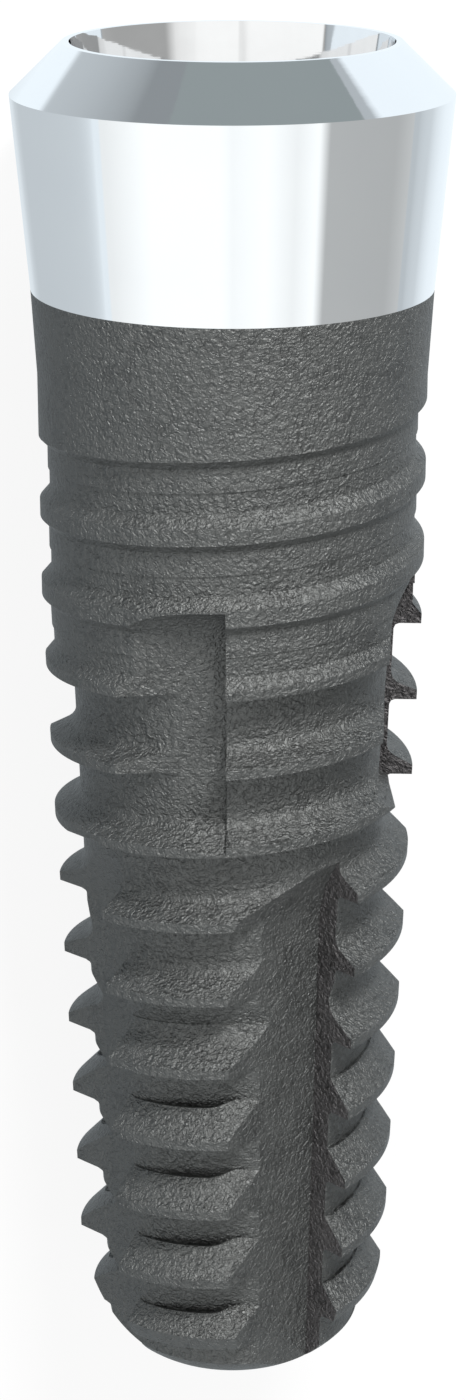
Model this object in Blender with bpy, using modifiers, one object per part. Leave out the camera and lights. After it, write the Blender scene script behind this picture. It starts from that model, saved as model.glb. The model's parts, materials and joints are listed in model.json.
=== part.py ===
"""Dental implant of the tissue-level kind: one turned and milled titanium screw, lying at rest.

The implant is modelled along its own axis, with the platform rim at level zero and levels counted
downwards from it, and is then laid on the floor as it would come to rest. Azimuths go round the axis,
from the side at -Y, through +X.
"""

import math

import bmesh
import bpy
from mathutils import Matrix, Vector
from mathutils.bvhtree import BVHTree

MM = 0.001

# Polished collar
PLATFORM_DIAMETER = 4.80 * MM
RIM_DIAMETER = 3.66 * MM
BEVEL_HEIGHT = 0.55 * MM
COLLAR_HEIGHT = 2.65 * MM
COLLAR_FOOT_DIAMETER = 4.43 * MM

# Blasted body
NECK_TAPER_HEIGHT = 0.95 * MM
BODY_DIAMETER = 4.32 * MM
STRAIGHT_END_LEVEL = 6.20 * MM
BODY_TAPER_ANGLE = math.radians(2.16)
TOTAL_LENGTH = 15.70 * MM
DOME_HEIGHT = 1.50 * MM
TIP_FLAT_DIAMETER = 1.60 * MM

# Thread. Turns are counted down from the first crest, and a slope is a flank's height for its depth
PITCH = 0.917 * MM
FIRST_CREST_LEVEL = 3.88 * MM
SHALLOW_DEPTH = 0.10 * MM
SHALLOW_CREST_WIDTH = 0.19 * MM
SHALLOW_SLOPE = 1.10
DEEP_DEPTH = 0.31 * MM
DEEP_CREST_WIDTH = 0.11 * MM
DEEP_SLOPE = 0.50
APICAL_SLOPE = 1.04
ROOT_FILLET = 0.06 * MM
ROOT_FILLET_BEND = 0.3
SLIT_DEPTH = 0.11 * MM
SLIT_HEIGHT = 0.04 * MM
SLIT_LIP = 0.05 * MM
RUN_IN_TURNS = (-0.55, -0.35)
DEEPENING_TURNS = (2.35, 2.70)
STEEPENING_TURNS = (5.5, 8.0)
SLIT_TURNS = (6.9, 7.9)
SLIT_FADE = (0.40, 0.56)

# Upper flutes, each a pocket on the lower-azimuth side of a radial wall. The arc is the cutter's
UPPER_FLUTES = 4
UPPER_FLUTE_AZIMUTH = math.radians(-2)
UPPER_FLUTE_ARC_RADIUS = 0.60 * MM
UPPER_FLUTE_ARC_LEVEL = 6.30 * MM
UPPER_FLUTE_FLOOR_RADIUS = 1.79 * MM
UPPER_FLUTE_FLOOR_ANGLE = math.radians(3.4)
UPPER_FLUTE_RUN_OUT_LEVEL = 8.27 * MM
UPPER_FLUTE_RUN_OUT_ANGLE = math.radians(36)

# Lower flutes, which run out through the apex
LOWER_FLUTES = 4
LOWER_FLUTE_AZIMUTH = math.radians(43.6)
LOWER_FLUTE_ARC_RADIUS = 1.50 * MM
LOWER_FLUTE_ARC_LEVEL = 9.88 * MM
LOWER_FLUTE_FLOOR_RADIUS = 1.43 * MM
LOWER_FLUTE_FLOOR_ANGLE = math.radians(1.55)

# Bore for the abutment and its screw
MOUTH_DIAMETER = 3.50 * MM
CONE_ANGLE = math.radians(8)
CONE_DEPTH = 1.40 * MM
OCTAGON_ACROSS_FLATS = 2.80 * MM
OCTAGON_DEPTH = 1.00 * MM
SCREW_HOLE_DIAMETER = 1.70 * MM
SCREW_HOLE_CHAMFER = 0.12 * MM
SCREW_HOLE_DEPTH = 4.20 * MM
DRILL_POINT_ANGLE = math.radians(59)

# Facets
SEGMENTS = 32
DOME_SEGMENTS = 6
FLUTE_ARC_SEGMENTS = 8
OVERCUT = 0.25 * MM
CREST_OVERSHOOT = 0.02 * MM
SLIT_CORNER = 0.004 * MM
SHARP_EDGE_ANGLE = math.radians(35)
MERGE = 1e-7

# How it lies: the middle of one lower flute faces the floor
FLUTE_MIDDLE_ANGLE = math.radians(22.5)
FLOOR_AZIMUTH = LOWER_FLUTE_AZIMUTH + math.pi - FLUTE_MIDDLE_ANGLE
HULL_FACES_CROSSED = 8
MODEL_TO_HULL_SCALE = 1000.0


def clear_scene():
    for item in list(bpy.data.objects):
        bpy.data.objects.remove(item, do_unlink=True)


def new_collection(name):
    collection = bpy.data.collections.new(name)
    bpy.context.scene.collection.children.link(collection)
    return collection


def blasted_titanium():
    material = bpy.data.materials.new("blasted_titanium")
    material.use_nodes = True
    shader = material.node_tree.nodes["Principled BSDF"]
    shader.inputs["Base Color"].default_value = (0.10, 0.105, 0.11, 1.0)
    shader.inputs["Metallic"].default_value = 1.0
    shader.inputs["Roughness"].default_value = 0.55
    return material


def blend(start, end, share):
    return start + (end - start) * share


def ramp(turn, span):
    """Smooth step from 0 to 1 over a span of turns."""
    share = min(1.0, max(0.0, (turn - span[0]) / (span[1] - span[0])))
    return share * share * (3.0 - 2.0 * share)


def body_radius(level):
    """Radius of the body before the thread is cut, straight and then tapered."""
    return BODY_DIAMETER / 2 - math.tan(BODY_TAPER_ANGLE) * max(0.0, level - STRAIGHT_END_LEVEL)


def at_azimuth(azimuth, radius, level):
    return Vector((radius * math.sin(azimuth), -radius * math.cos(azimuth), -level))


def blank_profile():
    """Outline of the turned blank, from the axis at the rim round to the axis at the apex."""
    dome_level = TOTAL_LENGTH - DOME_HEIGHT
    tip_radius = TIP_FLAT_DIAMETER / 2
    dome_reach = body_radius(dome_level) - tip_radius
    profile = [
        (0.0, 0.0),
        (RIM_DIAMETER / 2, 0.0),
        (PLATFORM_DIAMETER / 2, BEVEL_HEIGHT),
        (COLLAR_FOOT_DIAMETER / 2, COLLAR_HEIGHT),
        (BODY_DIAMETER / 2, COLLAR_HEIGHT + NECK_TAPER_HEIGHT),
        (BODY_DIAMETER / 2, STRAIGHT_END_LEVEL),
    ]
    for step in range(DOME_SEGMENTS + 1):
        angle = math.pi / 2 * step / DOME_SEGMENTS
        radius = tip_radius + dome_reach * math.cos(angle)
        profile.append((radius, dome_level + DOME_HEIGHT * math.sin(angle)))
    profile.append((0.0, TOTAL_LENGTH))
    return profile


def bore_profile():
    """Outline of the turned part of the bore: cone, then screw hole with a drilled end."""
    mouth_radius = MOUTH_DIAMETER / 2
    cone_slope = math.tan(CONE_ANGLE)
    hole_radius = SCREW_HOLE_DIAMETER / 2
    seat_level = CONE_DEPTH + OCTAGON_DEPTH
    hole_end = seat_level + SCREW_HOLE_DEPTH
    return [
        (0.0, -OVERCUT),
        (mouth_radius + OVERCUT * cone_slope, -OVERCUT),
        (mouth_radius - CONE_DEPTH * cone_slope, CONE_DEPTH),
        (hole_radius + SCREW_HOLE_CHAMFER, CONE_DEPTH),
        (hole_radius + SCREW_HOLE_CHAMFER, seat_level),
        (hole_radius, seat_level + SCREW_HOLE_CHAMFER),
        (hole_radius, hole_end),
        (0.0, hole_end + hole_radius / math.tan(DRILL_POINT_ANGLE)),
    ]


def turned(name, profile, collection):
    """Revolve a profile of (radius, level) pairs about the axis."""
    mesh = bpy.data.meshes.new(name)
    points = [(radius, 0.0, -level) for radius, level in profile]
    edges = [(index, index + 1) for index in range(len(points) - 1)]
    mesh.from_pydata(points, edges, [])
    item = bpy.data.objects.new(name, mesh)
    collection.objects.link(item)
    screw = item.modifiers.new("turn", "SCREW")
    screw.axis = "Z"
    screw.steps = SEGMENTS
    screw.render_steps = SEGMENTS
    screw.use_merge_vertices = True
    screw.merge_threshold = MERGE
    screw.use_smooth_shade = True
    return item


def loft(name, runs, collection):
    """Closed solids, each lofted through its own run of like-numbered sections."""
    shape = bmesh.new()
    for sections in runs:
        rings = [[shape.verts.new(point) for point in section] for section in sections]
        for ring, after in zip(rings, rings[1:]):
            for index in range(len(ring)):
                following = (index + 1) % len(ring)
                shape.faces.new((ring[index], ring[following], after[following], after[index]))
        shape.faces.new(list(reversed(rings[0])))
        shape.faces.new(rings[-1])
    bmesh.ops.triangulate(shape, faces=shape.faces[:])
    bmesh.ops.recalc_face_normals(shape, faces=shape.faces[:])
    mesh = bpy.data.meshes.new(name)
    shape.to_mesh(mesh)
    shape.free()
    item = bpy.data.objects.new(name, mesh)
    collection.objects.link(item)
    return item


def slit_share(turn):
    """How much of the slit over the flank stands at this turn. It fades on each land's far side."""
    land = (-turn - LOWER_FLUTE_AZIMUTH / math.tau) * LOWER_FLUTES % 1.0
    return ramp(turn, SLIT_TURNS) * (1.0 - ramp(land, SLIT_FADE))


def groove_section(turn):
    """Section of the thread groove that lies under the crest at this turn, as points in space."""
    crest_level = FIRST_CREST_LEVEL + PITCH * turn
    deep = ramp(turn, DEEPENING_TURNS)
    run_in = ramp(turn, RUN_IN_TURNS)

    full_depth = blend(SHALLOW_DEPTH, DEEP_DEPTH, deep)
    depth = blend(-2 * CREST_OVERSHOOT, full_depth, run_in)
    crest_width = blend(SHALLOW_CREST_WIDTH, DEEP_CREST_WIDTH, deep)
    lead_slope = 1.0 - deep
    fillet = min(blend(0.0, ROOT_FILLET, deep), full_depth / 2)
    lead_over = min(-CREST_OVERSHOOT, depth)

    slope = blend(SHALLOW_SLOPE, blend(DEEP_SLOPE, APICAL_SLOPE, ramp(turn, STEEPENING_TURNS)), deep)
    slit = slit_share(turn)
    lip = SLIT_LIP * slit
    flank_foot = PITCH - slope * (full_depth - lip)
    slit_top = flank_foot - 3 * SLIT_CORNER - SLIT_HEIGHT * slit - slope * lip / 2

    steps = [
        (crest_width + lead_slope * lead_over, -OVERCUT),
        (crest_width + lead_slope * lead_over, lead_over),
        (crest_width + lead_slope * (depth - fillet), depth - fillet),
        (crest_width + lead_slope * depth + ROOT_FILLET_BEND * fillet, depth - ROOT_FILLET_BEND * fillet),
        (crest_width + lead_slope * depth + fillet, depth),
        (slit_top, depth),
        (slit_top + SLIT_CORNER, depth + SLIT_DEPTH * slit),
        (flank_foot - SLIT_CORNER, depth + SLIT_DEPTH * slit),
        (flank_foot, depth - lip),
        (PITCH + slope * CREST_OVERSHOOT, -CREST_OVERSHOOT),
        (PITCH + slope * CREST_OVERSHOOT, -OVERCUT),
    ]
    azimuth = -math.tau * turn
    points = []
    for drop, depth_here in steps:
        level = crest_level + drop
        points.append(at_azimuth(azimuth, body_radius(level) - depth_here, level))
    return points


def thread_groove(collection):
    last_turn = (TOTAL_LENGTH - FIRST_CREST_LEVEL) / PITCH
    first = math.floor(RUN_IN_TURNS[0] * SEGMENTS)
    last = math.ceil(last_turn * SEGMENTS)
    sections = [groove_section((index + 0.5) / SEGMENTS) for index in range(first, last + 1)]
    return loft("thread_groove_cutter", [sections], collection)


def flute_reach():
    return BODY_DIAMETER / 2 + OVERCUT


def flute_outline(arc_radius, arc_level, floor_radius, floor_angle, end_level, run_out_angle):
    """Outline of a pocket on its wall, as (distance from the axis, level): arc, floor, run-out."""
    centre = floor_radius + arc_radius
    widest = math.acos(max(0.0, (centre - flute_reach()) / arc_radius))
    outline = [(flute_reach() + OVERCUT, arc_level - arc_radius * math.sin(widest))]
    for step in range(FLUTE_ARC_SEGMENTS + 1):
        angle = widest * (1.0 - step / FLUTE_ARC_SEGMENTS)
        outline.append((centre - arc_radius * math.cos(angle), arc_level - arc_radius * math.sin(angle)))
    end_radius = floor_radius - (end_level - arc_level) * math.tan(floor_angle)
    run_out = (flute_reach() + OVERCUT - end_radius) * math.tan(run_out_angle)
    return outline + [(end_radius, end_level), (flute_reach() + OVERCUT, end_level + run_out)]


def flutes(name, outline, count, first_azimuth, collection):
    """Pockets round the axis: the outline is carried from each wall, along the tangent, off the body."""
    runs = []
    for index in range(count):
        azimuth = first_azimuth + math.tau * index / count
        along = Vector((math.cos(azimuth), math.sin(azimuth), 0.0)) * flute_reach()
        on_wall = [at_azimuth(azimuth, distance, level) for distance, level in outline]
        runs.append([on_wall, [point - along for point in on_wall]])
    return loft(name, runs, collection)


def upper_flutes(collection):
    """Short pockets under the second turn, which run out over the flank of the fifth."""
    outline = flute_outline(
        UPPER_FLUTE_ARC_RADIUS,
        UPPER_FLUTE_ARC_LEVEL,
        UPPER_FLUTE_FLOOR_RADIUS,
        UPPER_FLUTE_FLOOR_ANGLE,
        UPPER_FLUTE_RUN_OUT_LEVEL,
        UPPER_FLUTE_RUN_OUT_ANGLE,
    )
    return flutes("upper_flute_cutters", outline, UPPER_FLUTES, UPPER_FLUTE_AZIMUTH, collection)


def lower_flutes(collection):
    """Long pockets, staggered from the upper ones, which pass out through the apex."""
    outline = flute_outline(
        LOWER_FLUTE_ARC_RADIUS,
        LOWER_FLUTE_ARC_LEVEL,
        LOWER_FLUTE_FLOOR_RADIUS,
        LOWER_FLUTE_FLOOR_ANGLE,
        TOTAL_LENGTH + OVERCUT,
        0.0,
    )
    return flutes("lower_flute_cutters", outline, LOWER_FLUTES, LOWER_FLUTE_AZIMUTH, collection)


def octagon(collection):
    """Index recess under the cone, with two of its flats square to X."""
    corner_radius = OCTAGON_ACROSS_FLATS / 2 / math.cos(math.pi / 8)
    start = CONE_DEPTH - OVERCUT
    depth = OCTAGON_DEPTH + OVERCUT
    bpy.ops.mesh.primitive_cylinder_add(
        vertices=8,
        radius=corner_radius,
        depth=depth,
        location=(0.0, 0.0, -start - depth / 2),
        rotation=(0.0, 0.0, math.pi / 8),
    )
    item = bpy.context.object
    item.name = "octagon_cutter"
    for owner in list(item.users_collection):
        owner.objects.unlink(item)
    collection.objects.link(item)
    return item


def cut(item, cutter):
    cutter.hide_render = True
    cutter.display_type = "WIRE"
    boolean = item.modifiers.new(cutter.name, "BOOLEAN")
    boolean.operation = "DIFFERENCE"
    boolean.solver = "EXACT"
    boolean.object = cutter


def finished_mesh(item):
    """The cut shape as one mesh, shaded smooth with its real edges kept sharp."""
    bpy.context.view_layer.update()
    evaluated = item.evaluated_get(bpy.context.evaluated_depsgraph_get())
    mesh = bpy.data.meshes.new_from_object(evaluated)
    mesh.name = item.name
    shape = bmesh.new()
    shape.from_mesh(mesh)
    bmesh.ops.remove_doubles(shape, verts=shape.verts[:], dist=MERGE)
    bmesh.ops.dissolve_degenerate(shape, dist=MERGE, edges=shape.edges[:])
    shape.to_mesh(mesh)
    shape.free()
    mesh.shade_smooth()
    mesh.set_sharp_from_angle(angle=SHARP_EDGE_ANGLE)
    return mesh


def centre_of_mass(shape):
    total = 0.0
    moment = Vector()
    for face in shape.faces:
        first = face.verts[0].co
        for before, after in zip(face.verts[1:], face.verts[2:]):
            volume = first.dot(before.co.cross(after.co)) / 6
            total += volume
            moment += (first + before.co + after.co) * (volume / 4)
    return moment / total


def rest_turn(mesh):
    """Turn that sets the implant down on the hull face under its centre of mass."""
    shape = bmesh.new()
    shape.from_mesh(mesh)
    bmesh.ops.scale(shape, vec=Vector((1.0, 1.0, 1.0)) * MODEL_TO_HULL_SCALE, verts=shape.verts[:])
    centre = centre_of_mass(shape)
    result = bmesh.ops.convex_hull(shape, input=shape.verts[:], use_existing_faces=False)
    kept = {piece for piece in result["geom"] if isinstance(piece, bmesh.types.BMFace)}
    bmesh.ops.delete(shape, geom=[face for face in shape.faces if face not in kept], context="FACES_ONLY")
    bmesh.ops.recalc_face_normals(shape, faces=shape.faces[:])
    tree = BVHTree.FromBMesh(shape)
    down = at_azimuth(FLOOR_AZIMUTH, 1.0, 0.0)
    for _ in range(HULL_FACES_CROSSED):
        down = tree.ray_cast(centre, down)[1]
    shape.free()
    to_floor = down.rotation_difference(Vector((0.0, 0.0, -1.0))).to_matrix()
    platform = to_floor @ Vector((0.0, 0.0, 1.0))
    heading = math.atan2(platform.x, platform.y)
    return (Matrix.Rotation(heading, 3, "Z") @ to_floor).to_4x4()


def lay_down(item):
    """Place the implant on the floor, platform towards +Y, with the box centred on the origin."""
    turn = rest_turn(item.data)
    points = [turn @ vertex.co for vertex in item.data.vertices]
    low = Vector([min(point[axis] for point in points) for axis in range(3)])
    high = Vector([max(point[axis] for point in points) for axis in range(3)])
    shift = Vector((-(low.x + high.x) / 2, -(low.y + high.y) / 2, -low.z))
    item.matrix_world = Matrix.Translation(shift) @ turn


def build():
    clear_scene()
    parts = new_collection("dental_implant")
    cutters = new_collection("cutters")

    implant = turned("implant", blank_profile(), parts)
    cut(implant, thread_groove(cutters))
    cut(implant, upper_flutes(cutters))
    cut(implant, lower_flutes(cutters))
    cut(implant, turned("bore_cutter", bore_profile(), cutters))
    cut(implant, octagon(cutters))

    implant.data = finished_mesh(implant)
    implant.modifiers.clear()
    implant.data.materials.append(blasted_titanium())
    lay_down(implant)


build()
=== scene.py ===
import json
import math

import bmesh
import bpy
import numpy as np
from mathutils import Matrix, Vector


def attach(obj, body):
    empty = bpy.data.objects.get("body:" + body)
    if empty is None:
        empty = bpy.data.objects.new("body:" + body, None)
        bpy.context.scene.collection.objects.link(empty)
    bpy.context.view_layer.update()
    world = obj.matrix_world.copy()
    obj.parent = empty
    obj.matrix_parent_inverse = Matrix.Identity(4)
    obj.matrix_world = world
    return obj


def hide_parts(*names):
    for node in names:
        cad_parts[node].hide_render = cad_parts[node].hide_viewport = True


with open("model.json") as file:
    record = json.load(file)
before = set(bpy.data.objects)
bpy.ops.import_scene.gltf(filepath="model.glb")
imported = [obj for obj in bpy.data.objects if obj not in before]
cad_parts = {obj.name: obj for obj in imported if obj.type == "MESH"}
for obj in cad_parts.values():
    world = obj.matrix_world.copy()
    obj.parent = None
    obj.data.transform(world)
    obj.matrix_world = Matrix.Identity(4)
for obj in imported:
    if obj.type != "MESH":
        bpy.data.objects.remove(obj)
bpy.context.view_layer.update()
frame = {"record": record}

# Lengths are in millimetres unless a comment says otherwise.
millimetre = 0.001

# How far the rim mount's point stands from the axis.
rimPointRadius = 1.79


# How the implant lies, read from the record: its axis, the middle of its rim and the side that azimuths
# are counted from. The piece is worked out in millimetres along its own axis, the rim at level zero.
def recordedPlace():
    mounts = {mount["name"]: mount for mount in frame["record"]["mounts"]}
    axis = Vector(mounts["platform_rim"]["axis"]).normalized()
    rimPoint = Vector(mounts["platform_rim"]["pos_m"])
    outward = rimPoint - Vector(mounts["abutment_seat"]["pos_m"])
    outward = (outward - axis * outward.dot(axis)).normalized()
    centre = rimPoint - outward * rimPointRadius * millimetre
    sideways = (-outward).cross(axis)
    turn = Matrix((sideways, -outward, axis)).transposed().to_4x4()
    return Matrix.Translation(centre) @ turn @ Matrix.Scale(millimetre, 4)


place = recordedPlace()


# Points round the axis: x = radius sin azimuth, y = -radius cos azimuth, z = -level.
def roundTheAxis(azimuth, radius, level):
    azimuth, radius, level = np.broadcast_arrays(azimuth, radius, level)
    return np.stack([radius * np.sin(azimuth), -radius * np.cos(azimuth), -level], axis=-1)


# Smooth step: 3s^2 - 2s^3 of the share s of the span that is passed.
def smoothStep(value, span):
    share = np.clip((value - span[0]) / (span[1] - span[0]), 0.0, 1.0)
    return share * share * (3.0 - 2.0 * share)


def between(start, end, share):
    return start + (end - start) * share


# Points closer than this merge: those of a row that lies on the axis, and the cuts' stray slivers.
mergeDistances = {"cutter": 1e-6, "implant": 2e-4}


# A grid of points, rows by columns, closed round its columns: each cell is one face, and the first
# and last rows are closed by a cap or, where they lie on the axis, by merging.
def closedGrid(name, points, collection, capped):
    rows, columns = points.shape[:2]
    index = np.arange(rows * columns).reshape(rows, columns)
    following = np.roll(index, -1, axis=1)
    cells = np.stack([index[:-1], following[:-1], following[1:], index[1:]], axis=-1)
    faces = cells.reshape(-1, 4).tolist()
    if capped:
        faces += [index[0, ::-1].tolist(), index[-1].tolist()]
    mesh = bpy.data.meshes.new(name)
    mesh.from_pydata(points.reshape(-1, 3).tolist(), [], faces)
    shape = bmesh.new()
    shape.from_mesh(mesh)
    bmesh.ops.remove_doubles(shape, verts=shape.verts[:], dist=mergeDistances["cutter"])
    bmesh.ops.recalc_face_normals(shape, faces=shape.faces[:])
    shape.to_mesh(mesh)
    shape.free()
    item = bpy.data.objects.new(name, mesh)
    collection.objects.link(item)
    return item


# The turned blank: collar, body and rounded apex.
blank = {
    "segments": 128,
    "rimRadius": 1.83,
    "platformRadius": 2.40,
    "bevelHeight": 0.55,
    "collarHeight": 2.65,
    "collarFootRadius": 2.215,
    "bodyRadius": 2.16,
    "neckEnd": 3.60,
    "straightEnd": 6.20,
    "taper": math.radians(2.16),
    "length": 15.70,
    "domeHeight": 1.50,
    "domeSteps": 28,
    "tipRadius": 0.80,
}


# Body radius: straight, then falling with the tangent of the taper.
def bodyRadius(level):
    return blank["bodyRadius"] - math.tan(blank["taper"]) * np.maximum(0.0, level - blank["straightEnd"])


# The blank's outline is straight from corner to corner, and its apex a quarter ellipse:
# radius = tip + reach cos a, level = start + height sin a.
def turnedBlank(collection):
    domeStart = blank["length"] - blank["domeHeight"]
    angle = np.linspace(0.0, math.pi / 2, blank["domeSteps"] + 1)
    reach = bodyRadius(domeStart) - blank["tipRadius"]
    corners = np.array([
        (0.0, 0.0),
        (blank["rimRadius"], 0.0),
        (blank["platformRadius"], blank["bevelHeight"]),
        (blank["collarFootRadius"], blank["collarHeight"]),
        (blank["bodyRadius"], blank["neckEnd"]),
        (blank["bodyRadius"], blank["straightEnd"]),
    ])
    dome = np.stack([
        blank["tipRadius"] + reach * np.cos(angle),
        domeStart + blank["domeHeight"] * np.sin(angle),
    ], axis=-1)
    profile = np.concatenate([corners, dome, [(0.0, blank["length"])]])
    azimuth = np.arange(blank["segments"]) * math.tau / blank["segments"]
    points = roundTheAxis(azimuth[None, :], profile[:, :1], profile[:, 1:])
    return closedGrid("implant_blank", points, collection, capped=False)


# The thread, as the groove that is cut between its crests. Levels in a section count from the
# upper edge of the crest above it, and a slope is the flank's height for its depth. Places along the
# thread are in turns, but the slit's opening, fade and closings are spans in shares of a land. Each
# land has its own closing, counted from the first lower flute.
thread = {
    "stationsPerTurn": 96,
    "pitch": 0.917,
    "firstCrest": 3.88,
    "shallowDepth": 0.095,
    "shallowCrest": 0.19,
    "shallowSlope": 1.16,
    "stepDrop": 0.55,
    "stepDepth": 0.017,
    "deepDepth": 0.31,
    "deepCrest": 0.11,
    "slopeTurns": (2.75, 3.75, 6.84, 7.84),
    "slopes": (0.40, 0.56, 0.62, 1.04),
    "heelTurns": (2.70, 5.84, 6.84, 7.84),
    "heels": (0.165, 0.165, 0.33, 0.01),
    "heelSteps": 5,
    "footDepth": 0.10,
    "footBend": 0.25,
    "footGrowth": (5.4, 7.6),
    "footFade": (11.45, 11.75),
    "slitDrop": 0.05,
    "slitLip": 0.025,
    "slitGrowth": (6.9, 7.9),
    "slitOpening": (0.02, 0.34),
    "slitFade": (0.42, 0.60),
    "slitClosing": ((0.02, 0.26), (0.45, 0.66), (0.80, 1.00), (0.45, 0.66)),
    "corner": 0.004,
    "rootFillet": 0.06,
    "filletBend": 0.3,
    "filletRun": 1.5,
    "runIn": (-0.55, -0.35),
    "deepening": (2.35, 2.70),
    "overcut": 0.25,
    "overshoot": 0.02,
}


# One section for each station: crest edge, lower flank, filleted root with a fine step, foot, heel
# and upper flank. Towards the apex the root slopes inwards to its foot, and a slit opens there behind
# the lip of the flank. The heel is an arc: drop = centre + radius sin a, inward = centre + radius cos a.
# All depths and drops are blends over the turn they stand at.
def threadGroove(collection):
    stations = thread["stationsPerTurn"]
    lastTurn = (blank["length"] - thread["firstCrest"]) / thread["pitch"]
    first = math.floor(thread["runIn"][0] * stations)
    turn = (np.arange(first, math.ceil(lastTurn * stations) + 1) + 0.5) / stations
    deep = smoothStep(turn, thread["deepening"])
    runIn = smoothStep(turn, thread["runIn"])
    fullDepth = between(thread["shallowDepth"], thread["deepDepth"], deep)
    depth = between(-2 * thread["overshoot"], fullDepth, runIn)
    crest = between(thread["shallowCrest"], thread["deepCrest"], deep)
    fillet = thread["rootFillet"] * deep
    slope = between(thread["shallowSlope"], np.interp(turn, thread["slopeTurns"], thread["slopes"]), deep)
    heel = between(thread["heels"][-1], np.interp(turn, thread["heelTurns"], thread["heels"]), deep)
    fineStep = thread["stepDepth"] * (1.0 - deep) * runIn
    outside = np.full_like(turn, -thread["overcut"])
    over = np.minimum(-thread["overshoot"], depth)
    lead = 1.0 - deep
    root = depth + fineStep
    opening, lip = slitOnLands(turn)
    fade = 1.0 - smoothStep(turn, thread["footFade"])
    slit = smoothStep(turn, thread["slitGrowth"]) * fade
    growth = smoothStep(turn, thread["footGrowth"]) * fade
    footDepth = thread["footDepth"] * growth * between(1.0, opening, slit)
    foot = root + footDepth
    heelDepth = foot - (thread["slitLip"] + footDepth) * slit * lip
    bend = math.pi / 2 - np.arctan(slope)
    heelStart = thread["pitch"] - slope * (heelDepth - depth + fullDepth) - heel * np.tan(bend / 2)
    slitFoot = heelStart - thread["corner"]
    slitFoot += (thread["slitDrop"] + thread["corner"]) * slit * lip * opening
    filletEnd = thread["deepCrest"] + thread["filletRun"] * thread["rootFillet"]
    lastStep = between(thread["stepDrop"], filletEnd, deep)
    section = [
        (crest + lead * over, outside),
        (crest + lead * over, over),
        (crest + lead * (depth - fillet), depth - fillet),
        (crest + lead * depth + thread["filletBend"] * fillet, depth - thread["filletBend"] * fillet),
        (crest + lead * depth + fillet, depth),
        (lastStep, depth),
        (lastStep + thread["corner"], root),
        (between(lastStep + thread["corner"], slitFoot, thread["footBend"]), root),
        (slitFoot, foot),
    ]
    for angle in np.linspace(0.0, bend, thread["heelSteps"]):
        section.append((heelStart + heel * np.sin(angle), heelDepth - heel * (1.0 - np.cos(angle))))
    section += [
        (thread["pitch"] + slope * thread["overshoot"], np.full_like(turn, -thread["overshoot"])),
        (thread["pitch"] + slope * thread["overshoot"], outside),
    ]
    drop = np.stack([pair[0] for pair in section], axis=-1)
    inward = np.stack([pair[1] for pair in section], axis=-1)
    level = thread["firstCrest"] + thread["pitch"] * turn[:, None] + drop
    points = roundTheAxis(-math.tau * turn[:, None], bodyRadius(level) - inward, level)
    return closedGrid("thread_groove", points, collection, capped=True)


# The flutes are milled pockets beside radial walls. Each outline is drawn on the wall, as distance
# from the axis and level: an arc of the cutter, a straight floor and, on the upper ones, a run-out.
upperFlutes = {
    "count": 4,
    "floorAzimuth": math.radians(-2),
    "arcRadius": 0.60,
    "arcCentreLevel": 6.30,
    "floorRadius": 1.79,
    "floorAngle": math.radians(3.4),
    "runOutLevel": 8.27,
    "runOutAngle": math.radians(36),
    "arcSteps": 14,
}
lowerFlutes = {
    "count": 4,
    "floorAzimuth": math.radians(43.6),
    "arcRadius": 1.50,
    "arcCentreLevel": 9.88,
    "floorRadius": 1.43,
    "floorAngle": math.radians(1.55),
    "arcSteps": 20,
}


# How far the pockets go past the body: along the tangent, outwards from there, and past the apex.
fluteOvercut = {"reach": 0.25, "side": 0.05, "end": 0.25}
fluteReach = blank["bodyRadius"] + fluteOvercut["reach"]


# Over each land the slit opens and closes, and its lip fades: share 0 is a lower flute's wall, and
# share 1 the next one's.
def slitOnLands(turn):
    share = (-turn - lowerFlutes["floorAzimuth"] / math.tau) * lowerFlutes["count"]
    land = np.mod(np.floor(share), lowerFlutes["count"]).astype(int)
    share = np.mod(share, 1.0)
    closing = np.array(thread["slitClosing"])[land].T
    opening = smoothStep(share, thread["slitOpening"]) * (1.0 - smoothStep(share, closing))
    return opening, 1.0 - smoothStep(share, thread["slitFade"])


# Arc: distance = centre - radius cos a, level = centre level - radius sin a, down to the floor.
def pocketOutline(flute):
    centre = flute["floorRadius"] + flute["arcRadius"]
    widest = math.acos(max(0.0, (centre - fluteReach) / flute["arcRadius"]))
    angle = np.linspace(widest, 0.0, flute["arcSteps"] + 1)
    arc = np.stack([
        centre - flute["arcRadius"] * np.cos(angle),
        flute["arcCentreLevel"] - flute["arcRadius"] * np.sin(angle),
    ], axis=-1)
    outside = fluteReach + fluteOvercut["side"]
    endLevel = flute.get("runOutLevel", blank["length"] + fluteOvercut["end"])
    endRadius = flute["floorRadius"] - (endLevel - flute["arcCentreLevel"]) * math.tan(flute["floorAngle"])
    rise = (outside - endRadius) * math.tan(flute.get("runOutAngle", 0.0))
    return np.concatenate([
        [(outside, arc[0, 1])], arc, [(endRadius, endLevel), (outside, endLevel + rise)],
    ])


# Each outline is carried along the tangent, from the wall to outside the body.
def flutePockets(name, flute, collection):
    outline = pocketOutline(flute)
    pockets = []
    for number in range(flute["count"]):
        azimuth = flute["floorAzimuth"] + math.tau * number / flute["count"]
        onWall = roundTheAxis(azimuth, outline[:, 0], outline[:, 1])
        along = np.array([math.cos(azimuth), math.sin(azimuth), 0.0]) * fluteReach
        points = np.stack([onWall, onWall - along])
        pockets.append(closedGrid(name + "_" + str(number + 1), points, collection, capped=True))
    return pockets


# The bore for the abutment: cone, octagon, seat and screw hole.
bore = {
    "segments": 96,
    "mouthRadius": 1.75,
    "coneAngle": math.radians(8),
    "coneDepth": 1.40,
    "octagonAcrossFlats": 2.80,
    "octagonDepth": 1.00,
    "octagonLead": 0.50,
    "holeRadius": 0.85,
    "holeChamfer": 0.12,
    "holeDepth": 4.20,
    "drillPoint": math.radians(59),
    "overcut": 0.25,
}


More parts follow.
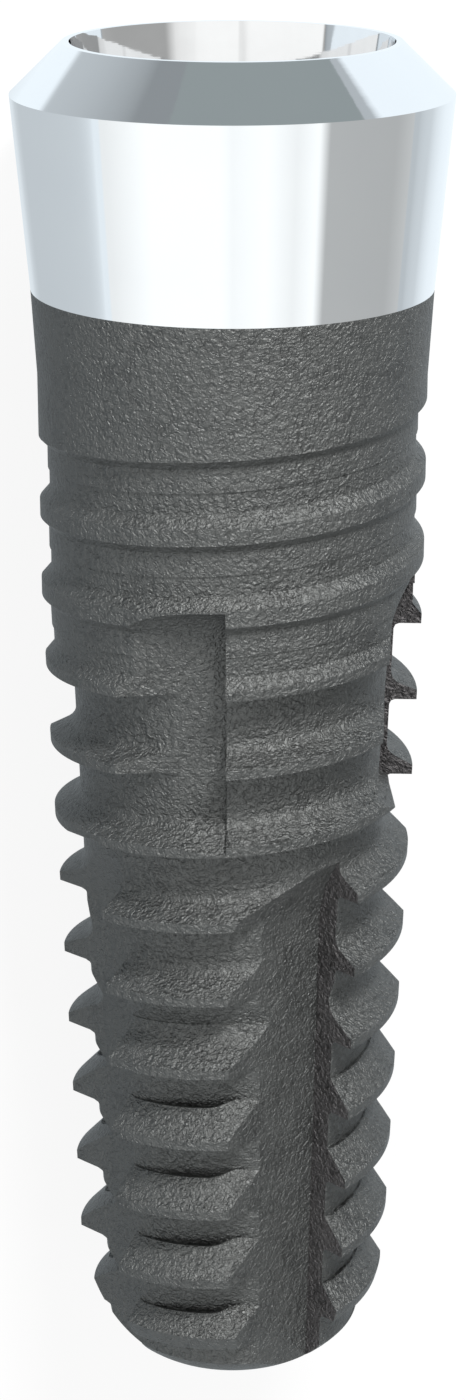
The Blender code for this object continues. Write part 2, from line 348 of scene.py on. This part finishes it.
def turnedBore(collection):
    slope = math.tan(bore["coneAngle"])
    seat = bore["coneDepth"] + bore["octagonDepth"]
    end = seat + bore["holeDepth"]
    profile = np.array([
        (0.0, -bore["overcut"]),
        (bore["mouthRadius"] + bore["overcut"] * slope, -bore["overcut"]),
        (bore["mouthRadius"] - bore["coneDepth"] * slope, bore["coneDepth"]),
        (bore["holeRadius"] + bore["holeChamfer"], bore["coneDepth"]),
        (bore["holeRadius"] + bore["holeChamfer"], seat),
        (bore["holeRadius"], seat + bore["holeChamfer"]),
        (bore["holeRadius"], end),
        (0.0, end + bore["holeRadius"] / math.tan(bore["drillPoint"])),
    ])
    azimuth = (np.arange(bore["segments"]) + 0.5) * math.tau / bore["segments"]
    points = roundTheAxis(azimuth[None, :], profile[:, :1], profile[:, 1:])
    return closedGrid("turned_bore", points, collection, capped=False)


# Eight corners at half-segment azimuths, carried from inside the cone down to the seat.
def octagonRecess(collection):
    sides = 8
    corner = bore["octagonAcrossFlats"] / 2 / math.cos(math.pi / sides)
    azimuth = (np.arange(sides) + 0.5) * math.tau / sides
    levels = np.array([bore["coneDepth"] - bore["octagonLead"], bore["coneDepth"] + bore["octagonDepth"]])
    points = roundTheAxis(azimuth[None, :], corner, levels[:, None])
    return closedGrid("octagon_recess", points, collection, capped=True)


def cutImplant():
    parts = bpy.context.scene.collection
    tools = bpy.data.collections.new("cutting_shapes")
    parts.children.link(tools)
    implant = turnedBlank(parts)
    cutters = [threadGroove(tools)]
    cutters += flutePockets("upper_flute", upperFlutes, tools)
    cutters += flutePockets("lower_flute", lowerFlutes, tools)
    cutters += [turnedBore(tools), octagonRecess(tools)]
    for cutter in cutters:
        boolean = implant.modifiers.new(cutter.name, "BOOLEAN")
        boolean.operation = "DIFFERENCE"
        boolean.solver = "EXACT"
        boolean.object = cutter
    bpy.context.view_layer.update()
    evaluated = implant.evaluated_get(bpy.context.evaluated_depsgraph_get())
    mesh = bpy.data.meshes.new_from_object(evaluated)
    implant.modifiers.clear()
    implant.data = mesh
    for cutter in cutters:
        bpy.data.objects.remove(cutter, do_unlink=True)
    bpy.data.collections.remove(tools)
    implant.name = mesh.name = "titanium_implant"
    return implant


implant = cutImplant()
print("implant cut:", len(implant.data.polygons), "faces")


# A small builder for node trees: sockets among the inputs are linked, and the rest are set.
def addNode(tree, kind, inputs=None, **settings):
    item = tree.nodes.new(kind)
    for key, value in settings.items():
        setattr(item, key, value)
    for key, value in (inputs or {}).items():
        if isinstance(value, bpy.types.NodeSocket):
            tree.links.new(value, item.inputs[key])
        else:
            item.inputs[key].default_value = value
    return item


# A ramp from (position, colour) stops.
def addRamp(tree, factor, stops):
    item = addNode(tree, "ShaderNodeValToRGB", {"Fac": factor})
    elements = item.color_ramp.elements
    while len(elements) < len(stops):
        elements.new(1.0)
    for element, (position, colour) in zip(elements, stops):
        element.position = position
        element.color = (*colour, 1.0)
    return item.outputs["Color"]


def newMaterial(name):
    material = bpy.data.materials.new(name)
    material.use_nodes = True
    tree = material.node_tree
    tree.nodes.clear()
    return material, tree, addNode(tree, "ShaderNodeBsdfPrincipled")


# Noise on Object coordinates, which are metres: a scale is features to the metre.
def addNoise(tree, scale, detail, distortion=0.0, stretch=(1.0, 1.0, 1.0)):
    where = addNode(tree, "ShaderNodeTexCoord").outputs["Object"]
    mapped = addNode(tree, "ShaderNodeMapping", {"Vector": where, "Scale": stretch})
    noise = addNode(tree, "ShaderNodeTexNoise", {
        "Vector": mapped.outputs["Vector"], "Scale": scale, "Detail": detail, "Distortion": distortion,
    })
    return noise.outputs["Fac"]


# The blasted body: grey, pebbled at about 0.07 mm, with finer grains, darker pits and broad cloudy
# shifts. The milled walls of the flutes are rougher and a little warmer, and their darker colour is
# painted shade. Heights are in metres.
blastedFinish = {
    "dark": (0.112, 0.114, 0.112),
    "light": (0.142, 0.145, 0.142),
    "roughness": (0.52, 0.62),
    "pebbleScale": 14500,
    "pebbleHeight": 0.000052,
    "grainScale": 38000,
    "grainHeight": 0.000016,
    "cloudScale": 2600,
}
# Painted shade: the milled walls are coloured darker to stand in for the shade they lie in.
shadedMilledFinish = {
    "dark": (0.066, 0.063, 0.064),
    "light": (0.115, 0.110, 0.111),
    "roughness": (0.58, 0.70),
    "pebbleScale": 13000,
    "pebbleHeight": 0.000070,
    "grainScale": 30000,
    "grainHeight": 0.000016,
    "cloudScale": 2600,
}


# Noises lie mostly in this middle. The sum of two lies round 1, and below that it darkens over the
# span of the shades.
noiseMiddle = (0.3, 0.7)
shadeSpan = (0.7, 1.0)


# Roughness follows a noise between the finish's two values.
def addRoughness(tree, noise, finish, shader):
    rough = addNode(tree, "ShaderNodeMapRange", {
        "Value": noise, "From Min": noiseMiddle[0], "From Max": noiseMiddle[1],
        "To Min": finish["roughness"][0], "To Max": finish["roughness"][1],
    })
    tree.links.new(rough.outputs["Result"], shader.inputs["Roughness"])


def pebbledMaterial(name, finish):
    material, tree, shader = newMaterial(name)
    pebbles = addNoise(tree, finish["pebbleScale"], detail=2.0, distortion=1.0)
    grains = addNoise(tree, finish["grainScale"], detail=1.0, distortion=0.4)
    clouds = addNoise(tree, finish["cloudScale"], detail=3.0)
    shade = addNode(tree, "ShaderNodeMath", {0: pebbles, 1: clouds}, operation="ADD")
    colour = addRamp(tree, shade.outputs[0], list(zip(shadeSpan, (finish["dark"], finish["light"]))))
    addRoughness(tree, clouds, finish, shader)
    coarse = addNode(tree, "ShaderNodeBump", {"Height": pebbles, "Distance": finish["pebbleHeight"]})
    fine = addNode(tree, "ShaderNodeBump", {
        "Height": grains, "Distance": finish["grainHeight"], "Normal": coarse.outputs["Normal"],
    })
    tree.links.new(colour, shader.inputs["Base Color"])
    tree.links.new(fine.outputs["Normal"], shader.inputs["Normal"])
    shader.inputs["Metallic"].default_value = 1.0
    addNode(tree, "ShaderNodeOutputMaterial", {"Surface": shader.outputs["BSDF"]})
    return material


# Polished and machined metal: bright, with faint marks of stretched noise and finer smears in its
# colour and roughness.
polishedFinish = {
    "colour": (0.94, 0.95, 0.955),
    "shift": (0.92, 0.93, 0.94),
    "roughness": (0.035, 0.06),
    "markScale": 260,
    "markStretch": (1.0, 60.0, 1.0),
    "markHeight": 0.0000002,
    "smearScale": 1040,
}
machinedFinish = {
    "colour": (0.86, 0.87, 0.88),
    "shift": (0.80, 0.81, 0.82),
    "roughness": (0.03, 0.05),
    "markScale": 400,
    "markStretch": (1.0, 60.0, 1.0),
    "markHeight": 0.00000015,
    "smearScale": 1600,
}


def turnedMaterial(name, finish):
    material, tree, shader = newMaterial(name)
    marks = addNoise(tree, finish["markScale"], detail=4.0, stretch=finish["markStretch"])
    smears = addNoise(tree, finish["smearScale"], detail=3.0)
    colour = addRamp(tree, smears, list(zip(noiseMiddle, (finish["shift"], finish["colour"]))))
    addRoughness(tree, smears, finish, shader)
    bump = addNode(tree, "ShaderNodeBump", {"Height": marks, "Distance": finish["markHeight"]})
    tree.links.new(colour, shader.inputs["Base Color"])
    tree.links.new(bump.outputs["Normal"], shader.inputs["Normal"])
    shader.inputs["Metallic"].default_value = 1.0
    addNode(tree, "ShaderNodeOutputMaterial", {"Surface": shader.outputs["BSDF"]})
    return material


# Where each finish lies, by the middle of a face: level and distance from the axis. A milled wall
# also faces along the tangent, to within the share given as its facing.
finishZones = {
    "boreRadius": 1.755,
    "boreEnd": 2.45,
    "holeReach": 1.10,
    "holeEnd": 8.0,
    "wallStart": 5.5,
    "wallReach": 1.25,
    "wallFacing": 0.97,
}


def giveFinishes(item):
    mesh = item.data
    middle, facing = np.empty((2, len(mesh.polygons) * 3))
    mesh.polygons.foreach_get("center", middle)
    mesh.polygons.foreach_get("normal", facing)
    middle, facing = middle.reshape(-1, 3), facing.reshape(-1, 3)
    level = -middle[:, 2]
    radius = np.hypot(middle[:, 0], middle[:, 1])
    inBore = (radius < finishZones["boreRadius"]) & (level < finishZones["boreEnd"])
    inHole = (radius < finishZones["holeReach"]) & (level < finishZones["holeEnd"])
    polished = (level < blank["collarHeight"]) & ~inBore & ~inHole
    # The milled walls found here get the darker colour, which is painted shade.
    across = np.abs(facing[:, 1] * middle[:, 0] - facing[:, 0] * middle[:, 1])
    wall = across > finishZones["wallFacing"] * radius
    wall &= (level > finishZones["wallStart"]) & (radius > finishZones["wallReach"])
    materials = [
        pebbledMaterial("blasted_titanium", blastedFinish),
        turnedMaterial("polished_titanium", polishedFinish),
        turnedMaterial("machined_titanium", machinedFinish),
        pebbledMaterial("milled_titanium_painted_shade", shadedMilledFinish),
    ]
    blastedSlot, polishedSlot, machinedSlot, shadedMilledSlot = range(len(materials))
    slots = [machinedSlot, polishedSlot, shadedMilledSlot]
    zone = np.select([inBore | inHole, polished, wall], slots, blastedSlot)
    for material in materials:
        mesh.materials.append(material)
    mesh.polygons.foreach_set("material_index", zone.astype(np.int32))
    print("finishes given:", np.bincount(zone, minlength=len(materials)).tolist(), "faces")


# Faces that meet at more than this angle keep a sharp edge.
sharpEdge = math.radians(32)


def finishShape(item):
    shape = bmesh.new()
    shape.from_mesh(item.data)
    bmesh.ops.remove_doubles(shape, verts=shape.verts[:], dist=mergeDistances["implant"])
    bmesh.ops.dissolve_degenerate(shape, dist=mergeDistances["implant"], edges=shape.edges[:])
    shape.to_mesh(item.data)
    shape.free()
    giveFinishes(item)
    item.data.transform(place)
    item.data.shade_smooth()
    item.data.set_sharp_from_angle(angle=sharpEdge)


finishShape(implant)
print("implant placed:", [round(size / millimetre, 3) for size in implant.dimensions])

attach(implant, "root")
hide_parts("implant")


# Camera at the photograph's viewing angle, placed in the implant's own millimetres.
view = {
    "focalPixels": 2998.8,
    "imageHeight": 1400,
    "sensor": 36.0,
    "pitch": math.radians(19.336),
    "distance": 32.552,
    "height": 3.954,
    "clip": (1, 10000),
}


def photographCamera():
    forward = Vector((0.0, math.cos(view["pitch"]), -math.sin(view["pitch"])))
    upward = Vector((0.0, math.sin(view["pitch"]), math.cos(view["pitch"])))
    turn = Matrix((forward.cross(upward), upward, -forward)).transposed().to_4x4()
    data = bpy.data.cameras.new("photograph_camera")
    data.sensor_width = view["sensor"]
    data.lens = view["focalPixels"] * view["sensor"] / view["imageHeight"]
    data.clip_start, data.clip_end = (distance * millimetre for distance in view["clip"])
    camera = bpy.data.objects.new("photograph_camera", data)
    bpy.context.scene.collection.objects.link(camera)
    seat = Matrix.Translation((0.0, -view["distance"], view["height"])) @ turn
    camera.matrix_world = place @ seat @ Matrix.Scale(1 / millimetre, 4)
    bpy.context.scene.camera = camera


photographCamera()


# The studio: white soft boxes with darker gaps and a few grey cards, which only reflections see, a pale
# floor and a key lamp. The floor's cards are a painted reflection: grey tones that glow on it for mirrored
# rays alone. A card is given as (place, level), and the levels between cards are blended. The collar
# mirrors the panels, the bore its own panels, and the bevel the painted reflection on the floor beyond the
# platform. The panels stand round the implant's axis, in degrees from the camera's side to the right, and
# the spans between them are shares of a direction that point along the axis. Cards on the floor count from
# the left to the right, or from the middle towards the platform. The lamp's angles are in degrees, and its
# power is in watts.
studio = {
    "plainLevel": 0.58,
    "panelTint": (0.97, 1.00, 1.01),
    "boreTint": (1.00, 1.00, 0.99),
    "floorTint": (0.91, 0.99, 1.05),
    "panels": [
        (-180, 0.80), (-70, 0.90), (-45, 1.10), (-6, 1.10), (0, 1.02), (18, 1.10),
        (34, 0.95), (46, 1.10), (52, 0.48), (95, 0.46), (110, 0.58), (180, 0.80),
    ],
    "borePanels": [
        (-180, 0.60), (-72, 0.40), (-69, 1.10), (-12, 1.10), (-8, 0.90), (-4, 1.10),
        (25, 1.10), (42, 0.90), (50, 0.42), (95, 0.42), (180, 0.80),
    ],
    "boreSpan": (-0.08, 0.0),
    "endColour": (0.29, 0.33, 0.34),
    "endSpan": (0.74, 0.81),
    "floorSize": 400,
    "floorWhite": 0.90,
    "floorColour": (0.95, 0.95, 0.95),
    "floorReach": 45.0,
    "floorRoughness": 0.9,
    # Painted reflection: grey tones that glow on the floor for mirrored rays only.
    "paintedReflectionBeside": [
        (-45, 0.90), (-15, 0.66), (-3, 0.60), (-2.4, 0.82), (4, 1.00), (7, 0.95), (14, 0.68), (45, 0.55),
    ],
    "paintedReflectionAhead": [(9.3, 1.00), (9.7, 0.56), (16, 0.45), (29, 0.30)],
    "paintedReflectionRight": [(28, 1.00), (45, 0.50)],
    "aheadSpan": (7.0, 8.0),
    "rightSpan": (-2.0, 4.0),
    "lampAzimuth": 30,
    "lampRise": 52,
    "lampDistance": 70,
    "lampSize": 16,
    "lampPower": 0.060,
}
whiteColour = (1.0, 1.0, 1.0, 1.0)


# A share from 0 to 1 as the value goes through the span, written with a Map Range node.
def addShare(tree, value, span):
    item = addNode(tree, "ShaderNodeMapRange", {"Value": value, "From Min": span[0], "From Max": span[1]})
    return item.outputs["Result"]


def addMix(tree, share, first, second):
    item = addNode(tree, "ShaderNodeMix", {"Factor": share, "A": first, "B": second}, data_type="RGBA")
    return item.outputs["Result"]


# A ramp of cards: their places become shares of the range, and their levels tinted colours.
def addCards(tree, factor, cards, limits, tint):
    stops = []
    for where, level in cards:
        colour = tuple(level * part for part in tint)
        stops.append(((where - limits[0]) / (limits[1] - limits[0]), colour))
    return addRamp(tree, factor, stops)


# Camera rays and transmitted ones see white, to the share given as whiteness. Otherwise mirrored rays
# see the cards, and all other rays the plain light or sheet.
def addViews(tree, plain, cards, white, whiteness):
    path = addNode(tree, "ShaderNodeLightPath").outputs
    seen = {0: path["Is Camera Ray"], 1: path["Is Transmission Ray"]}
    direct = addNode(tree, "ShaderNodeMath", seen, operation="MAXIMUM")
    share = addNode(tree, "ShaderNodeMath", {0: direct.outputs[0], 1: whiteness}, operation="MULTIPLY")
    lit = addNode(tree, "ShaderNodeMixShader", {0: path["Is Glossy Ray"], 1: plain, 2: cards})
    views = addNode(tree, "ShaderNodeMixShader", {0: share.outputs[0], 1: lit.outputs[0], 2: white})
    return views.outputs[0]


def studioWorld():
    world = bpy.data.worlds.new("studio")
    world.use_nodes = True
    bpy.context.scene.world = world
    tree = world.node_tree
    tree.nodes.clear()
    heading = addNode(tree, "ShaderNodeTexCoord").outputs["Generated"]
    unturned = place.to_3x3().normalized().inverted().to_euler()
    turned = addNode(tree, "ShaderNodeMapping", {"Vector": heading, "Rotation": unturned})
    axes = addNode(tree, "ShaderNodeSeparateXYZ", {0: turned.outputs["Vector"]}).outputs
    towards = addNode(tree, "ShaderNodeMath", {0: axes["Y"], 1: -1.0}, operation="MULTIPLY")
    azimuth = addNode(tree, "ShaderNodeMath", {0: axes["X"], 1: towards.outputs[0]}, operation="ARCTAN2")
    share = addShare(tree, azimuth.outputs[0], (-math.pi, math.pi))
    allRound = (-180.0, 180.0)
    panels = addCards(tree, share, studio["panels"], allRound, studio["panelTint"])
    borePanels = addCards(tree, share, studio["borePanels"], allRound, studio["boreTint"])
    panels = addMix(tree, addShare(tree, axes["Z"], studio["boreSpan"]), panels, borePanels)
    end = addShare(tree, axes["Z"], studio["endSpan"])
    seen = addMix(tree, end, panels, (*studio["endColour"], 1.0))
    plain = addNode(tree, "ShaderNodeBackground", {"Color": whiteColour, "Strength": studio["plainLevel"]})
    cards = addNode(tree, "ShaderNodeBackground", {"Color": seen})
    white = addNode(tree, "ShaderNodeBackground", {"Color": whiteColour})
    views = addViews(tree, plain.outputs[0], cards.outputs[0], white.outputs[0], 1.0)
    addNode(tree, "ShaderNodeOutputWorld", {"Surface": views})


# Object coordinates are in metres.
def addFloorShare(tree, value, span):
    return addShare(tree, value, [edge * millimetre for edge in span])


# The floor is a white sheet that keeps a soft shadow. Its grey cards are a painted reflection: tones
# that glow on it for mirrored rays alone.
def studioFloor():
    half = studio["floorSize"] / 2 * millimetre
    mesh = bpy.data.meshes.new("studio_floor")
    corners = [(-half, -half, 0.0), (half, -half, 0.0), (half, half, 0.0), (-half, half, 0.0)]
    mesh.from_pydata(corners, [], [(0, 1, 2, 3)])
    floor = bpy.data.objects.new("studio_floor", mesh)
    bpy.context.scene.collection.objects.link(floor)
    material, tree, shader = newMaterial("floor_sheet")
    shader.inputs["Base Color"].default_value = (*studio["floorColour"], 1.0)
    shader.inputs["Roughness"].default_value = studio["floorRoughness"]
    where = addNode(tree, "ShaderNodeTexCoord").outputs["Object"]
    axes = addNode(tree, "ShaderNodeSeparateXYZ", {0: where}).outputs
    reach = studio["floorReach"]
    across = addFloorShare(tree, axes["X"], (-reach, reach))
    along = addFloorShare(tree, axes["Y"], (0.0, reach))
    # Painted reflection: grey tones on the floor that only mirrored rays see.
    beside = addCards(tree, across, studio["paintedReflectionBeside"], (-reach, reach), studio["floorTint"])
    ahead = addCards(tree, along, studio["paintedReflectionAhead"], (0.0, reach), studio["floorTint"])
    right = addCards(tree, across, studio["paintedReflectionRight"], (-reach, reach), studio["floorTint"])
    ahead = addMix(tree, addFloorShare(tree, axes["X"], studio["rightSpan"]), ahead, right)
    seen = addMix(tree, addFloorShare(tree, axes["Y"], studio["aheadSpan"]), beside, ahead)
    cards = addNode(tree, "ShaderNodeEmission", {"Color": seen})
    white = addNode(tree, "ShaderNodeEmission", {"Color": whiteColour})
    views = addViews(tree, shader.outputs[0], cards.outputs[0], white.outputs[0], studio["floorWhite"])
    addNode(tree, "ShaderNodeOutputMaterial", {"Surface": views})
    mesh.materials.append(material)


# The lamp stands at an azimuth and a rise from the implant's middle, and looks at it.
def keyLamp():
    azimuth = math.radians(studio["lampAzimuth"])
    rise = math.radians(studio["lampRise"])
    outward = math.cos(rise)
    heading = Vector((math.sin(azimuth) * outward, -math.cos(azimuth) * outward, math.sin(rise)))
    middle = Vector((0.0, 0.0, -blank["length"] / 2))
    target = place @ middle
    seat = place @ (middle + heading * studio["lampDistance"])
    data = bpy.data.lights.new("key_lamp", "AREA")
    data.size = studio["lampSize"] * millimetre
    data.energy = studio["lampPower"]
    lamp = bpy.data.objects.new("key_lamp", data)
    lamp.location = seat
    lamp.rotation_euler = (seat - target).to_track_quat("Z", "Y").to_euler()
    bpy.context.scene.collection.objects.link(lamp)


studioWorld()
studioFloor()
keyLamp()
bpy.context.scene.view_settings.view_transform = "Standard"
print("studio set")
